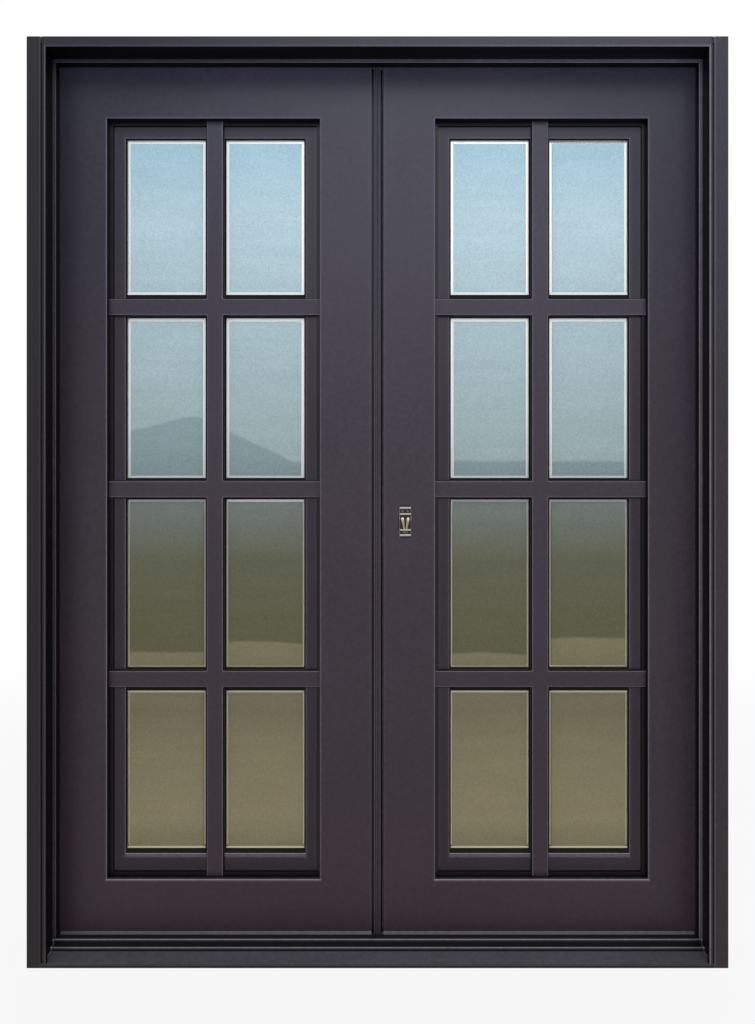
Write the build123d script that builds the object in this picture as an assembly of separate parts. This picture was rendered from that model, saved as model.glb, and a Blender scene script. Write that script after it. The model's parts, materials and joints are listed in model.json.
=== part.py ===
from build123d import *
import os

# Steel double door in its frame, in millimetres.
# +X is right as seen from outside, +Y goes into the room and +Z is up.
# The origin is the middle of the sill's underside. Both leaves open inward.

# Overall
frame_width = 1830
frame_height = 2430
leaf_setback = 100
leaf_thickness = 56

# Frame sections
jamb_face = 36
head_face = 17
section_wall = 3
rebate_step = 6
casing_edge_radius = 2.5
anchor_hole_radius = 5
anchor_end_distance = 250
anchor_count = 4

# Bead round the front of the reveal
bead_projection = 13
bead_groove_width = 4
bead_groove_depth = 6
bead_depth = 12
bead_edge_radius = 3.5
bead_groove_radius = 1.5
joint_line_depth = 2

# Stops and seals
stop_projection = 9
stop_depth = 22
stop_edge_radius = 1.5
seal_space = 5
seal_width = 5
seal_inset = 2
seal_clearance = 0.3

# Sill and threshold
sill_thickness = 8
sill_edge_radius = 2
threshold_start = 59
threshold_step_height = 18
threshold_stop_height = 32
threshold_edge_radius = 1.5

# Leaves
leaf_side_gap = 3
leaf_bottom_gap = 4
meeting_gap = 29
hinge_stile_width = 140
lock_stile_width = 143.5
top_rail_height = 149
bottom_rail_height = 158
skin_thickness = 4
tube_wall = 3
window_edge_radius = 3
leaf_edge_radius = 1.5
drain_hole_radius = 4
drain_hole_inset = 40

# Grille
grille_setback = 18
grille_thickness = 10
grille_ring_width = 9
grille_ring_thickness = 4
bar_width = 45
cross_bar_heights = (725, 1250, 1754)
grille_corner_radius = 4
grille_edge_radius = 3

# Glazed sash
sash_gap = 3
sash_clearance = 1
sash_face_width = 39
sash_bottom_face = 46
sash_edge_radius = 1.5
glass_bite = 6
glass_clearance = 1
glass_thickness = 4
spacer_depth = 11
spacer_visible = 11
spacer_edge_cover = 2
glazing_bead_thickness = 4
glazing_bead_proud = 1
glazing_bead_clearance = 0.2
sash_bar_width = 50

# Weather bar at the foot of each leaf
weather_bar_height = 9
weather_bar_depth = 5
weather_bar_lift = 8
weather_bar_lip = 2
weather_bar_crest = 1
weather_bar_radius = 0.8
weather_bar_inset = 2
weather_bar_stop_gap = 3

# Astragal on the left leaf
astragal_nose_width = 18.5
astragal_nose_offset = 4.5
astragal_nose_proud = 2
astragal_nose_depth = 9
astragal_ridge_height = 3.5
astragal_body_gap = 4
astragal_wall = 3
astragal_top_gap = 0.5
astragal_bottom_gap = 2
meeting_seal_depth = 8
meeting_seal_start = 7

# Leaf hinges
hinge_count = 4
hinge_end_distance = 200
knuckle_radius = 9
knuckle_height = 55
knuckle_lift = 0.5
hinge_pin_radius = 5
running_clearance = 0.05
hinge_washer_thickness = 2
hinge_washer_clearance = 0.2
hinge_wing_thickness = 4
hinge_wing_width = 34
frame_wing_width = 26
pin_cap_height = 4
pin_cap_gap = 0.3
knuckle_step = 1

# Sash hinges
sash_hinge_count = 3
sash_hinge_end_distance = 120
sash_knuckle_radius = 5
sash_knuckle_height = 30
sash_pin_radius = 3
sash_wing_thickness = 2.5
sash_wing_width = 20

# Turn buttons that hold the sash
button_count = 2
button_end_distance = 430
button_edge_distance = 12
button_length = 44
button_width = 14
button_thickness = 6
button_pivot_radius = 3
button_lift = 0.3
button_grip_height = 8
button_grip_width = 5
round_end_flat = 0.5

# Flush bolts in the astragal
bolt_rod_radius = 5
bolt_rod_length = 260
bolt_rod_clearance = 0.3
bolt_recess = 1
bolt_button_width = 8
bolt_button_height = 14
bolt_button_distance = 210
bolt_slot_clearance = 0.4
top_bolt_throw = 20
bottom_bolt_throw = 20
keep_ring_width = 4
keep_rod_clearance = 0.5

# Lock in the right leaf
lock_backset = 62
lock_height = 1161
lock_case_width = 92
lock_case_height = 180
lock_case_thickness = 18
face_plate_thickness = 3
face_plate_width = 24
face_plate_height = 230
dead_bolt_guided_length = 30
dead_bolt_throw = 20
dead_bolt_height = 30
dead_bolt_thickness = 12
dead_bolt_drop = 12
dead_bolt_recess = 1
dead_bolt_chamfer = 1
dead_bolt_clearance = 0.3
plate_clearance = 0.2

# Nickel trim of the lock, its bars, slots and lobes measured from its middle
trim_width = 34
trim_height = 88
trim_corner_radius = 2
trim_clearance = 0.3
trim_setback = 1.5
trim_base_depth = 3
trim_bar_depth = 5.5
trim_end_bar = 6
trim_end_bar_inset = 3.5
trim_inner_bar = 5
trim_inner_heights = (20.5, -23)
trim_bar_radius = 1.2
trim_rail_width = 2
trim_rail_depth = 2.5
trim_slot_height = 28.5
trim_slot_size = (20, 7)
key_slot_height = -29.5
key_slot_size = (15, 4)
lobe_top = (7.8, 7)
lobe_foot = (3.4, -19)
lobe_setback = 1
lobe_radius = 4.6
lobe_foot_radius = 3
lobe_edge_radius = 2
trim_post_radius = 4

# Turn of the lock, with its rose on the room side
turn_spindle_radius = 5
turn_grip_size = (12, 40)
turn_grip_depth = 16
turn_neck_radius = 8
turn_neck_depth = 8
turn_neck_clearance = 0.3
turn_front_gap = 0.5
rose_radius = 26
rose_thickness = 6

# Strike plate in the astragal
strike_thickness = 2
strike_width = 22
strike_height = 70
strike_hole_margin = 1

# Places worked out from the sizes above
half_width = frame_width / 2
frame_depth = leaf_setback + leaf_thickness
front = -frame_depth / 2
back = frame_depth / 2
leaf_front = front + leaf_setback
leaf_middle = leaf_front + leaf_thickness / 2
jamb_inner = half_width - jamb_face
jamb_rebate = jamb_inner + rebate_step
stop_inner = jamb_inner - stop_projection
stop_back = leaf_front - seal_space
stop_front = stop_back - stop_depth
bead_inner = jamb_inner - bead_projection
head_soffit = frame_height - head_face
head_rebate = head_soffit + rebate_step
head_stop_under = head_soffit - stop_projection
leaf_outer = jamb_rebate - leaf_side_gap
leaf_inner = meeting_gap / 2
leaf_top = head_rebate - leaf_side_gap
leaf_bottom = threshold_step_height + leaf_bottom_gap
window_outer = leaf_outer - hinge_stile_width
window_inner = leaf_inner + lock_stile_width
window_middle = (window_outer + window_inner) / 2
window_top = leaf_top - top_rail_height
window_bottom = leaf_bottom + bottom_rail_height
tube_front = leaf_front + skin_thickness
grille_front = leaf_front + grille_setback
grille_back = grille_front + grille_thickness
grille_ring_front = grille_back - grille_ring_thickness
sash_front = grille_back + sash_clearance
sash_outer = window_outer - sash_gap
sash_inner = window_inner + sash_gap
sash_top = window_top - sash_gap
sash_bottom = window_bottom + sash_gap
glazing_bead_back = back + glazing_bead_proud
glazing_bead_front = glazing_bead_back - glazing_bead_thickness
inner_glass_front = glazing_bead_front - glass_thickness
spacer_front = inner_glass_front - spacer_depth
glass_front = spacer_front - glass_thickness
hinge_axis_x = (jamb_rebate + leaf_outer) / 2
hinge_axis_y = back + knuckle_radius + knuckle_lift
leaf_knuckle_lift = hinge_washer_thickness + 2 * hinge_washer_clearance
sash_axis_x = (window_outer + sash_outer) / 2
sash_axis_y = back + sash_knuckle_radius + knuckle_lift
lock_x = leaf_inner + lock_backset
turn_z = lock_height + trim_slot_height
trim_base_front = leaf_front + trim_setback + trim_bar_depth
trim_base_back = trim_base_front + trim_base_depth
dead_bolt_length = dead_bolt_guided_length + dead_bolt_throw
dead_bolt_z = lock_height - dead_bolt_drop
nose_left = -leaf_inner + astragal_nose_offset
nose_right = nose_left + astragal_nose_width
astragal_right = leaf_inner - astragal_body_gap
astragal_top = head_stop_under + seal_inset - astragal_top_gap
astragal_bottom = leaf_bottom + seal_width + astragal_bottom_gap
nose_front = leaf_front - astragal_nose_proud
astragal_body_front = nose_front + astragal_nose_depth
astragal_middle = (astragal_right - leaf_inner) / 2

keep_radius = bolt_rod_radius + keep_rod_clearance + keep_ring_width
pin_bore_radius = hinge_pin_radius + running_clearance
small_round_radius = knuckle_radius - knuckle_step

# How near an edge must lie to count as being in a plane or inside an outline
same_plane = 0.01
rim_margin = 1


# Shapes

def block(x, y, z):
    low = [min(pair) for pair in (x, y, z)]
    size = [abs(pair[1] - pair[0]) for pair in (x, y, z)]
    return Pos(*low) * Box(*size, align=(Align.MIN, Align.MIN, Align.MIN))


def rounded_outline(points, rounded, radius):
    outline = Polygon(*points, align=None)
    if not rounded:
        return outline
    corners = [outline.vertices().sort_by_distance(Vector(*point))[0] for point in rounded]
    return fillet(corners, radius)


def upright(points, z, rounded=(), radius=0):
    outline = rounded_outline(points, rounded, radius)
    return Pos(0, 0, z[0]) * extrude(outline, amount=z[1] - z[0], dir=(0, 0, 1))


def crosswise(points, x, rounded=(), radius=0):
    outline = Plane.YZ * rounded_outline(points, rounded, radius)
    return Pos(x[0], 0, 0) * extrude(outline, amount=x[1] - x[0], dir=(1, 0, 0))


def pin_z(x, y, z, radius):
    return Pos(x, y, (z[0] + z[1]) / 2) * Cylinder(radius, z[1] - z[0])


def ring_z(x, y, z, radius, bore):
    return pin_z(x, y, z, radius) - pin_z(x, y, z, bore)


def pin_y(x, y, z, radius):
    return Pos(x, (y[0] + y[1]) / 2, z) * Rot(90, 0, 0) * Cylinder(radius, y[1] - y[0])


def pin_x(x, y, z, radius):
    return Pos((x[0] + x[1]) / 2, y, z) * Rot(0, 90, 0) * Cylinder(radius, x[1] - x[0])


def edge_plate(x, height, half_wide, half_high):
    # A block centred on the leaf's thickness and on a height.
    y = (leaf_middle - half_wide, leaf_middle + half_wide)
    return block(x, y, (height - half_high, height + half_high))


def plate_y(x, y, z, corner_radius):
    # A plate across Y whose four corners are rounded.
    width = abs(x[1] - x[0])
    height = abs(z[1] - z[0])
    outline = Plane.XZ * RectangleRounded(width, height, corner_radius)
    middle = Pos((x[0] + x[1]) / 2, y[0], (z[0] + z[1]) / 2)
    return middle * extrude(outline, amount=y[1] - y[0], dir=(0, 1, 0))


def edges_at_front(shape, y):
    return [edge for edge in shape.edges() if abs(edge.bounding_box().max.Y - y) < same_plane]


def edges_at_back(shape, y):
    return [edge for edge in shape.edges() if abs(edge.bounding_box().min.Y - y) < same_plane]


def rounded_end(width):
    # The corner radius that rounds the end of a bar, short of a full half circle.
    return width / 2 - round_end_flat


def evenly(low, high, count):
    return [low + (high - low) * index / (count - 1) for index in range(count)]


def save(name, *solids):
    part = Compound(children=[solid for shape in solids for solid in Part(shape.wrapped).solids()])
    export_step(part, f"parts/{name}.step")


# Frame

def frame_section(face, hollow):
    # Points across a stepped tube: distance in from its outer face, then depth.
    wall = section_wall if hollow else 0
    return [
        (wall, front + wall),
        (face - wall, front + wall),
        (face - wall, stop_back - wall),
        (face - rebate_step - wall, stop_back - wall),
        (face - rebate_step - wall, back - wall),
        (wall, back - wall),
    ]


def make_jamb(side):
    outline = [(side * (half_width - inward), y) for inward, y in frame_section(jamb_face, False)]
    hollow = [(side * (half_width - inward), y) for inward, y in frame_section(jamb_face, True)]
    jamb = upright(outline, (0, frame_height), [(side * jamb_inner, front)], casing_edge_radius)
    jamb -= upright(hollow, (0, frame_height - section_wall))
    span = sorted((side * jamb_inner, side * half_width))
    for height in evenly(anchor_end_distance, frame_height - anchor_end_distance, anchor_count):
        jamb -= pin_x(span, leaf_middle, height, anchor_hole_radius)
    return jamb


def make_head():
    outline = [(y, frame_height - inward) for inward, y in frame_section(head_face, False)]
    hollow = [(y, frame_height - inward) for inward, y in frame_section(head_face, True)]
    head = crosswise(outline, (-jamb_inner, jamb_inner))
    head -= crosswise(hollow, (-jamb_inner, jamb_inner))
    for side in (-1, 1):
        groove = (side * jamb_inner, side * (jamb_inner - bead_groove_width))
        head -= block(groove, (front, front + joint_line_depth), (head_soffit, frame_height))
        rebate = (side * jamb_inner, side * (jamb_inner + rebate_step))
        head += block(rebate, (stop_back, back), (head_rebate, frame_height))
    wall = (head_rebate, head_rebate + section_wall)
    return head - pin_z(astragal_middle, leaf_middle, wall, keep_radius)


def make_bead(side):
    inner = side * bead_inner
    groove = side * (jamb_inner - bead_groove_width)
    outer = side * jamb_inner
    points = [
        (outer, front + bead_groove_depth),
        (groove, front + bead_groove_depth),
        (groove, front),
        (inner, front),
        (inner, front + bead_depth),
        (outer, front + bead_depth),
    ]
    bead = upright(points, (sill_thickness, head_soffit))
    long_edges = bead.edges().filter_by(Axis.Z)
    nose = long_edges.sort_by_distance(Vector(inner, front, frame_height / 2))[0]
    bead = fillet(nose, bead_edge_radius)
    long_edges = bead.edges().filter_by(Axis.Z)
    shoulder = long_edges.sort_by_distance(Vector(groove, front, frame_height / 2))[0]
    return fillet(shoulder, bead_groove_radius)


def make_head_bead():
    under = head_soffit - (bead_projection - bead_groove_width)
    points = [
        (front, under),
        (front + bead_depth, under),
        (front + bead_depth, head_soffit),
        (front, head_soffit),
    ]
    return crosswise(points, (-bead_inner, bead_inner), [(front, under)], bead_edge_radius)


def make_stop(side):
    points = [
        (side * jamb_inner, stop_front),
        (side * stop_inner, stop_front),
        (side * stop_inner, stop_back),
        (side * jamb_inner, stop_back),
    ]
    nose = [(side * stop_inner, stop_front)]
    return upright(points, (threshold_stop_height, head_soffit), nose, stop_edge_radius)


def make_head_stop():
    points = [
        (stop_front, head_stop_under),
        (stop_back, head_stop_under),
        (stop_back, head_soffit),
        (stop_front, head_soffit),
    ]
    nose = [(stop_front, head_stop_under)]
    return crosswise(points, (-stop_inner, stop_inner), nose, stop_edge_radius)


def make_sill():
    points = [(front, 0), (back, 0), (back, sill_thickness), (front, sill_thickness)]
    nose = [(front, sill_thickness)]
    return crosswise(points, (-jamb_inner, jamb_inner), nose, sill_edge_radius)


def threshold_outline(inset):
    # A folded sheet seen from its end: a step, then the stop, then the flat that the leaves pass over.
    rise = front + threshold_start + inset
    low = threshold_step_height - inset
    high = threshold_stop_height - inset
    return [
        (rise, sill_thickness),
        (rise, low),
        (stop_front + inset, low),
        (stop_front + inset, high),
        (stop_back - inset, high),
        (stop_back - inset, low),
        (back - inset, low),
        (back - inset, sill_thickness),
    ]


def make_threshold():
    noses = [(front + threshold_start, threshold_step_height), (stop_front, threshold_stop_height)]
    span = (-jamb_inner, jamb_inner)
    threshold = crosswise(threshold_outline(0), span, noses, threshold_edge_radius)
    threshold -= crosswise(threshold_outline(section_wall), span)
    flat = (threshold_step_height - section_wall, threshold_step_height)
    threshold -= pin_z(astragal_middle, leaf_middle, flat, keep_radius)
    for side in (-1, 1):
        rebate = (side * jamb_inner, side * jamb_rebate)
        threshold += block(rebate, (stop_back, back), flat)
    return threshold


def make_frame_seals():
    depth = (stop_back, leaf_front - seal_clearance)
    inset = (stop_inner + seal_inset, stop_inner + seal_inset + seal_width)
    heights = (threshold_stop_height, head_stop_under + seal_inset + seal_width)
    seals = [block((side * inset[0], side * inset[1]), depth, heights) for side in (-1, 1)]
    above = (head_stop_under + seal_inset, head_stop_under + seal_inset + seal_width)
    seals.append(block((-inset[0], inset[0]), depth, above))
    below = (leaf_bottom, leaf_bottom + seal_width)
    seals.append(block((-inset[1], inset[1]), depth, below))
    return seals


def make_keeps():
    keeps = []
    heights = (head_rebate, threshold_step_height - section_wall)
    for height in heights:
        span = (height, height + section_wall)
        radius = keep_radius - running_clearance
        keeps.append(ring_z(astragal_middle, leaf_middle, span, radius, bolt_rod_radius + keep_rod_clearance))
    return keeps


def hinge_heights():
    return evenly(leaf_bottom + hinge_end_distance, leaf_top - hinge_end_distance, hinge_count)


def make_frame_knuckles():
    # The lower half of each leaf hinge is welded to the back of the jamb.
    halves = []
    for side in (-1, 1):
        wing_x = (side * jamb_rebate, side * (jamb_rebate + frame_wing_width))
        for height in hinge_heights():
            z = (height - knuckle_height, height)
            wing = block(wing_x, (back, back + hinge_wing_thickness), z)
            half = wing + pin_z(side * hinge_axis_x, hinge_axis_y, z, knuckle_radius)
            halves.append(half - pin_z(side * hinge_axis_x, hinge_axis_y, z, pin_bore_radius))
    return halves


def make_hinge_pins():
    pins = []
    for side in (-1, 1):
        for height in hinge_heights():
            span = (height - knuckle_height, height + leaf_knuckle_lift + knuckle_height + pin_cap_gap)
            pin = pin_z(side * hinge_axis_x, hinge_axis_y, span, hinge_pin_radius)
            cap = (span[1], span[1] + pin_cap_height)
            pins.append(pin + pin_z(side * hinge_axis_x, hinge_axis_y, cap, small_round_radius))
    return pins


def make_hinge_washers():
    washers = []
    for side in (-1, 1):
        x = side * hinge_axis_x
        for height in hinge_heights():
            low = height + hinge_washer_clearance
            z = (low, low + hinge_washer_thickness)
            washers.append(ring_z(x, hinge_axis_y, z, small_round_radius, pin_bore_radius))
    return washers


def make_leaf_knuckles(side):
    halves = []
    wing_x = (side * leaf_outer, side * (leaf_outer - hinge_wing_width))
    for height in hinge_heights():
        z = (height + leaf_knuckle_lift, height + leaf_knuckle_lift + knuckle_height)
        wing = block(wing_x, (back, back + hinge_wing_thickness), z)
        half = wing + pin_z(side * hinge_axis_x, hinge_axis_y, z, knuckle_radius)
        halves.append(half - pin_z(side * hinge_axis_x, hinge_axis_y, z, pin_bore_radius))
    return halves


# Leaves

def make_skin(side):
    y = (leaf_front, tube_front)
    skin = block((side * leaf_inner, side * leaf_outer), y, (leaf_bottom, leaf_top))
    skin = fillet(edges_at_front(skin, leaf_front), leaf_edge_radius)
    skin -= block((side * window_inner, side * window_outer), y, (window_bottom, window_top))
    inside = [edge for edge in edges_at_front(skin, leaf_front) if in_window(edge, rim_margin)]
    skin = fillet(inside, window_edge_radius)
    if side > 0:
        skin -= trim_opening(leaf_front, tube_front)
    return skin


def in_window(edge, margin):
    middle = edge.center()
    inside_x = window_inner - margin < abs(middle.X) < window_outer + margin
    return inside_x and window_bottom - margin < middle.Z < window_top + margin


def trim_opening(y_front, y_back):
    x = (lock_x - trim_width / 2, lock_x + trim_width / 2)
    z = (lock_height - trim_height / 2, lock_height + trim_height / 2)
    return plate_y(x, (y_front, y_back), z, trim_corner_radius)


def make_stile(side, near, far):
    x = (side * near, side * far)
    inset = (side * (near + tube_wall), side * (far - tube_wall))
    depth = (tube_front + tube_wall, back - tube_wall)
    floor = (leaf_bottom, leaf_bottom + tube_wall)
    stile = block(x, (tube_front, back), (leaf_bottom, leaf_top))
    stile -= block(inset, depth, (floor[1], leaf_top - tube_wall))
    for along in (near + drain_hole_inset, far - drain_hole_inset):
        stile -= pin_z(side * along, (tube_front + back) / 2, floor, drain_hole_radius)
    return stile


def make_rail(side, z):
    x = (side * window_inner, side * window_outer)
    rail = block(x, (tube_front, back), z)
    hollow = (z[0] + tube_wall, z[1] - tube_wall)
    return rail - block(x, (tube_front + tube_wall, back - tube_wall), hollow)


def button_heights():
    return evenly(window_bottom + button_end_distance, window_top - button_end_distance, button_count)


def button_x(side):
    return side * (window_inner - button_edge_distance)


def make_lock_stile(side):
    stile = make_stile(side, leaf_inner, window_inner)
    back_wall = (back - tube_wall, back)
    for height in button_heights():
        stile -= pin_y(button_x(side), back_wall, height, button_pivot_radius + running_clearance)
    if side > 0:
        stile -= trim_opening(tube_front, tube_front + tube_wall)
        stile -= edge_plate((leaf_inner, leaf_inner + tube_wall), lock_height,
                            face_plate_width / 2 + plate_clearance, face_plate_height / 2 + plate_clearance)
        stile -= pin_y(lock_x, back_wall, turn_z, turn_neck_radius + turn_neck_clearance)
    return stile


def lite_cells(bar, ring, ring_bottom, near, far, low, high):
    # The eight openings that an upright bar and three cross bars leave in a frame.
    columns = ((near + ring, window_middle - bar / 2), (window_middle + bar / 2, far - ring))
    edges = [low + ring_bottom]
    for height in cross_bar_heights:
        edges += [height - bar / 2, height + bar / 2]
    edges.append(high - ring)
    rows = list(zip(edges[0::2], edges[1::2]))
    return [(column, row) for column in columns for row in rows]


def grille_cells(ring):
    return lite_cells(bar_width, ring, ring, window_inner, window_outer, window_bottom, window_top)


def sash_cells():
    return lite_cells(sash_bar_width, sash_face_width, sash_bottom_face, sash_inner, sash_outer,
                      sash_bottom, sash_top)


def make_grille(side):
    # The bars stand in front of the ring and run past it to the edges of the opening.
    grille = block((side * window_inner, side * window_outer), (grille_front, grille_back),
                   (window_bottom, window_top))
    beyond = -2 * grille_corner_radius
    levels = ((grille_front, grille_ring_front, beyond), (grille_ring_front, grille_back, grille_ring_width))
    for near, far, ring in levels:
        for column, row in grille_cells(ring):
            x = (side * column[0], side * column[1])
            grille -= plate_y(x, (near, far), row, grille_corner_radius)
    rims = [edge for edge in edges_at_front(grille, grille_front) if in_window(edge, -rim_margin)]
    return fillet(rims, grille_edge_radius)


def make_sash(side):
    sash = block((side * sash_inner, side * sash_outer), (sash_front, back), (sash_bottom, sash_top))
    for column, row in sash_cells():
        x = (side * column[0], side * column[1])
        sash -= block(x, (sash_front, glass_front), row)
    rims = [edge for edge in edges_at_front(sash, sash_front) if on_sash_cell(edge)]
    sash = fillet(rims, min(sash_edge_radius, (glass_front - sash_front) / 2))
    for column, row in sash_cells():
        x, z = grown(side, column, row, glass_bite)
        sash -= block(x, (glass_front, back), z)
    return sash_members(side, sash)


def sash_members(side, sash):
    # The sash as its welded bars: two rails right across, three uprights between them and six short bars.
    columns = sorted({column for column, row in sash_cells()})
    rows = sorted({row for column, row in sash_cells()})
    upright_edges = [sash_inner, *columns[0], *columns[1], sash_outer]
    bar_edges = [edge for row in rows for edge in row]
    low, high = bar_edges[0], bar_edges[-1]
    fields = [((sash_inner, sash_outer), (sash_bottom, low)), ((sash_inner, sash_outer), (high, sash_top))]
    fields += [(x, (low, high)) for x in zip(upright_edges[0::2], upright_edges[1::2])]
    fields += [(x, z) for x in columns for z in zip(bar_edges[1:-1:2], bar_edges[2:-1:2])]
    return [sash & block((side * x[0], side * x[1]), (sash_front, back), z) for x, z in fields]


def on_sash_cell(edge):
    middle = edge.center()
    inside_x = sash_inner + rim_margin < abs(middle.X) < sash_outer - rim_margin
    return inside_x and sash_bottom + rim_margin < middle.Z < sash_top - rim_margin


def grown(side, column, row, margin):
    x = (side * (column[0] - margin), side * (column[1] + margin))
    z = (row[0] - margin, row[1] + margin)
    return x, z


def make_panes(side, y_front):
    panes = []
    for column, row in sash_cells():
        x, z = grown(side, column, row, glass_bite - glass_clearance)
        panes.append(block(x, (y_front, y_front + glass_thickness), z))
    return panes


def ring_in_cell(side, column, row, outward, inward, y):
    outer_x, outer_z = grown(side, column, row, outward)
    inner_x, inner_z = grown(side, column, row, -inward)
    return block(outer_x, y, outer_z) - block(inner_x, y, inner_z)


def make_spacers(side):
    outward = glass_bite - glass_clearance - spacer_edge_cover
    y = (spacer_front, inner_glass_front)
    return [ring_in_cell(side, column, row, outward, spacer_visible, y) for column, row in sash_cells()]


def make_glazing_beads(side):
    outward = glass_bite - glazing_bead_clearance
    y = (glazing_bead_front, glazing_bead_back)
    return [ring_in_cell(side, column, row, outward, 0, y) for column, row in sash_cells()]


def sash_hinge_heights():
    low = sash_bottom + sash_hinge_end_distance
    high = sash_top - sash_hinge_end_distance
    return evenly(low, high, sash_hinge_count)


def make_sash_hinges(side, on_leaf):
    # The leaf carries the lower knuckles with their pins, the sash the upper knuckles.
    halves = []
    for height in sash_hinge_heights():
        if on_leaf:
            z = (height - sash_knuckle_height, height)
            wing_x = (side * window_outer, side * (window_outer + sash_wing_width))
        else:
            z = (height + hinge_washer_clearance, height + hinge_washer_clearance + sash_knuckle_height)
            wing_x = (side * sash_outer, side * (sash_outer - sash_wing_width))
        half = block(wing_x, (back, back + sash_wing_thickness), z)
        half += pin_z(side * sash_axis_x, sash_axis_y, z, sash_knuckle_radius)
        if on_leaf:
            pin = (height, height + sash_knuckle_height)
            half += pin_z(side * sash_axis_x, sash_axis_y, pin, sash_pin_radius)
        else:
            half -= pin_z(side * sash_axis_x, sash_axis_y, z, sash_pin_radius + running_clearance)
        halves.append(half)
    return halves


def make_button(side, height):
    # A turn button at rest stands upright beside the sash and turns a quarter to hold it.
    x = button_x(side)
    y = (back + button_lift, back + button_lift + button_thickness)
    tail = button_length - button_width / 2
    span = (height - button_width / 2, height - button_width / 2 + tail)
    half = button_width / 2
    button = plate_y((x - half, x + half), y, span, rounded_end(button_width))
    button += pin_y(x, (back - tube_wall, y[0]), height, button_pivot_radius)
    grip = block((x - button_grip_width / 2, x + button_grip_width / 2),
                 (y[1], y[1] + button_grip_height), (span[0] + half, span[1] - half))
    return button + grip


def make_weather_bar(side):
    # Its face slopes back to a narrow crest, so that water runs off over the lip.
    near = leaf_inner + weather_bar_inset if side < 0 else leaf_inner
    x = (side * near, side * (stop_inner - weather_bar_stop_gap))
    lip_front = leaf_front - weather_bar_depth
    under = leaf_bottom + weather_bar_lift
    top = under + weather_bar_height
    points = [
        (leaf_front, under),
        (lip_front, under),
        (lip_front, under + weather_bar_lip),
        (leaf_front - weather_bar_crest, top),
        (leaf_front, top),
    ]
    nose = [(lip_front, under + weather_bar_lip)]
    return crosswise(points, (min(x), max(x)), nose, weather_bar_radius)


# Astragal with its flush bolts

def make_astragal():
    ridge = astragal_nose_width / 2
    shoulder = nose_front + astragal_ridge_height
    middle = nose_left + ridge
    crown_left = (nose_left + ridge / 2, nose_front)
    crown_right = (middle + ridge / 2, nose_front)
    outline = [
        ThreePointArc((nose_left, shoulder), crown_left, (middle, shoulder)),
        ThreePointArc((middle, shoulder), crown_right, (nose_right, shoulder)),
        Polyline(
            (nose_right, shoulder),
            (nose_right, astragal_body_front),
            (astragal_right, astragal_body_front),
            (astragal_right, back),
            (-leaf_inner, back),
            (-leaf_inner, astragal_body_front),
            (nose_left, astragal_body_front),
            (nose_left, shoulder),
        ),
    ]
    height = astragal_top - astragal_bottom
    body = Pos(0, 0, astragal_bottom) * extrude(make_face(outline), amount=height, dir=(0, 0, 1))
    hollow = (astragal_bottom + astragal_wall, astragal_top - astragal_wall)
    body -= block((-leaf_inner + astragal_wall, astragal_right - astragal_wall),
                  (astragal_body_front + astragal_wall, back - astragal_wall), hollow)
    for end in ((astragal_bottom, hollow[0]), (hollow[1], astragal_top)):
        body -= pin_z(astragal_middle, leaf_middle, end, bolt_rod_radius + bolt_rod_clearance)
    wall_x = (astragal_right - astragal_wall, astragal_right)
    for low, high in bolt_slots():
        half = bolt_button_width / 2 + bolt_slot_clearance
        body -= block(wall_x, (leaf_middle - half, leaf_middle + half), (low, high))
    body -= edge_plate((astragal_right - strike_thickness, astragal_right), dead_bolt_z,
                       strike_width / 2 + plate_clearance, strike_height / 2 + plate_clearance)
    return body - strike_hole(wall_x[0])


def strike_hole(x):
    half_wide = dead_bolt_thickness / 2 + strike_hole_margin
    half_high = dead_bolt_height / 2 + strike_hole_margin
    return edge_plate((x, astragal_right), dead_bolt_z, half_wide, half_high)


def make_strike():
    low_x = astragal_right - strike_thickness
    plate = edge_plate((low_x, astragal_right), dead_bolt_z, strike_width / 2, strike_height / 2)
    return plate - strike_hole(low_x)


def bolt_buttons():
    # Lowest and highest point of the top and the bottom thumb button with the bolts drawn back.
    upper = astragal_top - bolt_button_distance
    lower = astragal_bottom + bolt_button_distance
    return ((upper - bolt_button_height, upper), (lower, lower + bolt_button_height))


def bolt_slots():
    top, bottom = bolt_buttons()
    margin = bolt_slot_clearance
    upper = (top[0] - margin, top[1] + top_bolt_throw + margin)
    lower = (bottom[0] - bottom_bolt_throw - margin, bottom[1] + margin)
    return (upper, lower)


def make_flush_bolt(at_top):
    button = bolt_buttons()[0 if at_top else 1]
    if at_top:
        span = (astragal_top - bolt_recess - bolt_rod_length, astragal_top - bolt_recess)
    else:
        span = (astragal_bottom + bolt_recess, astragal_bottom + bolt_recess + bolt_rod_length)
    rod = pin_z(astragal_middle, leaf_middle, span, bolt_rod_radius)
    half = bolt_button_width / 2
    return rod + block((astragal_middle, astragal_right - plate_clearance),
                       (leaf_middle - half, leaf_middle + half), button)


def make_meeting_seal():
    start = astragal_body_front + meeting_seal_start
    return block((astragal_right, leaf_inner - seal_clearance), (start, start + meeting_seal_depth),
                 (astragal_bottom, astragal_top))


# Lock

def make_lock_case():
    x = (leaf_inner + face_plate_thickness, leaf_inner + face_plate_thickness + lock_case_width)
    half = lock_case_thickness / 2
    case = edge_plate(x, lock_height, half, lock_case_height / 2)
    case -= dead_bolt_hole(x[0], leaf_inner + dead_bolt_recess + dead_bolt_length + dead_bolt_clearance)
    return case - pin_y(lock_x, (leaf_middle - half, leaf_middle + half), turn_z,
                        turn_spindle_radius + running_clearance)


def dead_bolt_hole(x_near, x_far):
    half_wide = dead_bolt_thickness / 2 + dead_bolt_clearance
    half_high = dead_bolt_height / 2 + dead_bolt_clearance
    return edge_plate((x_near, x_far), dead_bolt_z, half_wide, half_high)


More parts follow.
